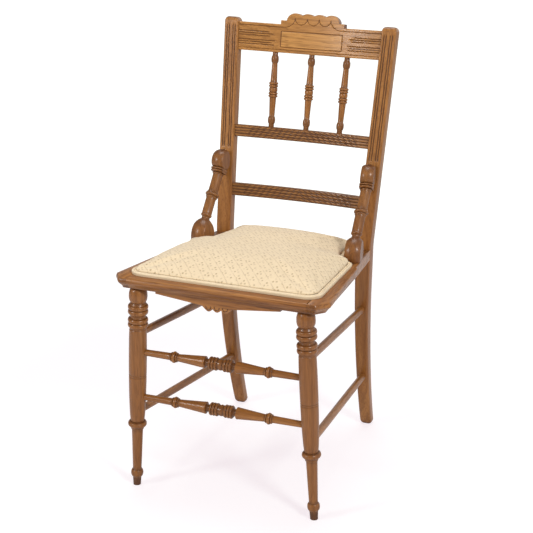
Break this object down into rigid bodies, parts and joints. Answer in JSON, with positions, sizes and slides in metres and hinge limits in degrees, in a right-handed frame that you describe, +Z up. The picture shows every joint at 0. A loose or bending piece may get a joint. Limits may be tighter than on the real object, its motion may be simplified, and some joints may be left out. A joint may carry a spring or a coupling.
{
  "type": "side chair",
  "caption": "Pressed back wooden side chair with turned front legs, bowed back rails, spindles, curved hip braces and an upholstered seat.",
  "frame": {"origin": "on the floor, under the middle of the chair's box", "axes": "+X to the right as seen from in front of the chair, +Y towards its back, +Z up"},
  "size_m": [0.425, 0.5222, 0.8554],
  "materials": {
    "oak": "golden brown oak under a soft satin varnish",
    "woven_cover": "cream woven cover with a small sprig pattern in a diamond lattice",
    "jute_webbing": "plain jute webbing",
    "sacking": "coarse plain sacking",
    "screw_steel": "dull steel"
  },
  "bodies": {
    "root": {"back_post_left": "oak", "back_post_right": "oak", "back_seat_rail": "oak", "back_spindle_centre": "oak", "back_spindle_left": "oak", "back_spindle_right": "oak", "crest_rail": "oak", "front_apron": "oak", "front_leg_left": "oak", "front_leg_right": "oak", "front_seat_rail": "oak", "front_stretcher_lower": "oak", "front_stretcher_upper": "oak", "hip_brace_dowel_left": "oak", "hip_brace_dowel_right": "oak", "hip_brace_left": "oak", "hip_brace_right": "oak", "lower_back_rail": "oak", "middle_back_rail": "oak", "side_seat_rail_left": "oak", "side_seat_rail_right": "oak", "side_stretcher_lower_left": "oak", "side_stretcher_lower_right": "oak", "side_stretcher_upper_left": "oak", "side_stretcher_upper_right": "oak", "hip_brace_screw_left": "screw_steel", "hip_brace_screw_right": "screw_steel", "webbing_crosswise_1": "jute_webbing", "webbing_crosswise_2": "jute_webbing", "webbing_crosswise_3": "jute_webbing", "webbing_lengthwise_1": "jute_webbing", "webbing_lengthwise_2": "jute_webbing", "webbing_lengthwise_3": "jute_webbing", "webbing_lengthwise_4": "jute_webbing", "seat_burlap": "sacking", "seat_pad": "woven_cover", "seat_welt": "woven_cover"}
  },
  "joints": []
}
